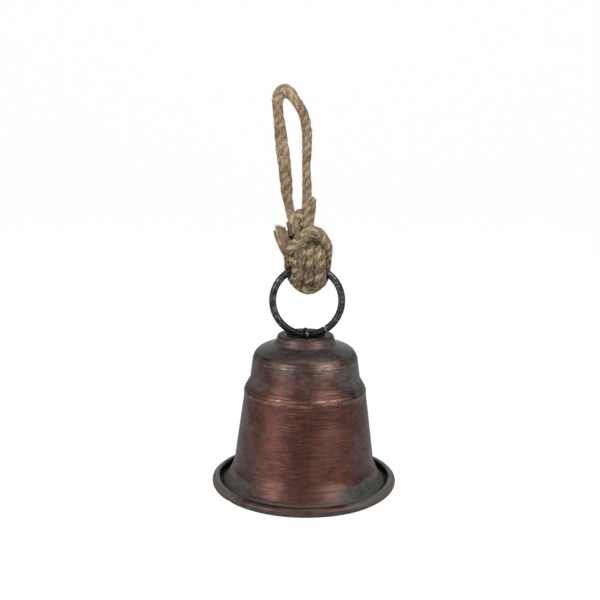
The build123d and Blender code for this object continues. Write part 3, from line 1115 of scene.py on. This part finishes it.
def pale_paper():
    """Nearly white paper that lights itself for the camera, and that can't be seen from below."""
    shade = Shading("pale_paper")
    grain = shade.noise(shade.millimetres(), 0.4, 2.0)
    paper = shade.blend(shade.span(grain, 0.3, 0.7), linear(236, 236, 236), linear(242, 242, 242))
    material = shade.finish(paper, 0.0, 0.9)
    glow = shade.add("ShaderNodeEmission", Color=WHITE, Strength=BACKDROP_GLOW)
    seen = shade.add("ShaderNodeLightPath").outputs["Is Camera Ray"]
    lit = shade.mix_surfaces(shade.times(seen, 0.93), shade.surface, glow)
    below = shade.add("ShaderNodeNewGeometry").outputs["Backfacing"]
    one_sided = shade.mix_surfaces(below, lit, shade.add("ShaderNodeBsdfTransparent"))
    output = shade.tree.nodes["Material Output"]
    shade.put(output.inputs["Surface"], one_sided.outputs[0])
    return material


def pale_stage():
    """A plain pale floor that curves up into a plain backdrop."""
    floor_height = -60 * MM
    front = -4.0
    back = 2.4
    bend = 1.2
    wall_top = 4.0
    half_width = 4.0
    section = [(front, floor_height), (back, floor_height)]
    for angle in np.linspace(0, math.pi / 2, 16)[1:]:
        section.append((back + bend * math.sin(angle), floor_height + bend * (1 - math.cos(angle))))
    section.append((back + bend, floor_height + wall_top))
    points = []
    for y, z in section:
        points.append((-half_width, y, z))
        points.append((half_width, y, z))
    faces = [(2 * row, 2 * row + 1, 2 * row + 3, 2 * row + 2) for row in range(len(section) - 1)]
    sweep = mesh_object("studio_sweep", points, faces)
    dress(sweep, pale_paper())


def soft_box(name, azimuth, elevation, width, height, power):
    """A soft lamp round the bell: azimuth 0 is the camera's side, and positive is to the right."""
    target = Vector((0, 0, BELL_HEIGHT / 2))
    turn = math.radians(azimuth)
    rise = math.radians(elevation)
    away = Vector((math.sin(turn) * math.cos(rise), -math.cos(turn) * math.cos(rise), math.sin(rise)))
    data = bpy.data.lights.new(name, "AREA")
    data.shape = "RECTANGLE"
    data.size = width
    data.size_y = height
    data.energy = power
    lamp = bpy.data.objects.new(name, data)
    lamp.location = target + away * LAMP_DISTANCE
    lamp.rotation_euler = away.to_track_quat("Z", "Y").to_euler()
    bpy.context.scene.collection.objects.link(lamp)


def studio_air():
    """Faint bluish light from all round, and plain white where the camera looks past the stage."""
    world = bpy.data.worlds.new("studio_air")
    world.use_nodes = True
    tree = world.node_tree
    air = tree.nodes["Background"]
    air.inputs["Color"].default_value = (0.93, 0.97, 1.0, 1)
    air.inputs["Strength"].default_value = 0.2
    white = tree.nodes.new("ShaderNodeBackground")
    white.inputs["Color"].default_value = WHITE
    white.inputs["Strength"].default_value = BACKDROP_GLOW
    rays = tree.nodes.new("ShaderNodeLightPath")
    mixed = tree.nodes.new("ShaderNodeMixShader")
    tree.links.new(rays.outputs["Is Camera Ray"], mixed.inputs[0])
    tree.links.new(air.outputs[0], mixed.inputs[1])
    tree.links.new(white.outputs[0], mixed.inputs[2])
    tree.links.new(mixed.outputs[0], tree.nodes["World Output"].inputs["Surface"])
    bpy.context.scene.world = world


def front_camera():
    """A camera in front of the bell, looking slightly down on it."""
    target = Vector((0, 0, RING_HEIGHT + 0.3 * MM))
    away = Vector((0, -math.cos(CAMERA_ELEVATION), math.sin(CAMERA_ELEVATION)))
    roll = Quaternion((0, 0, 1), CAMERA_ROLL)
    data = bpy.data.cameras.new("camera")
    data.sensor_width = 36
    data.lens = 60
    data.shift_x = -0.0099
    data.shift_y = 0.0006
    camera = bpy.data.objects.new("camera", data)
    camera.location = target + away * CAMERA_DISTANCE
    camera.rotation_euler = (away.to_track_quat("Z", "Y") @ roll).to_euler()
    bpy.context.scene.collection.objects.link(camera)
    bpy.context.scene.camera = camera


pale_stage()
for lamp_settings in SOFT_BOXES:
    soft_box(*lamp_settings)
studio_air()
front_camera()
bpy.context.scene.view_settings.view_transform = "Standard"
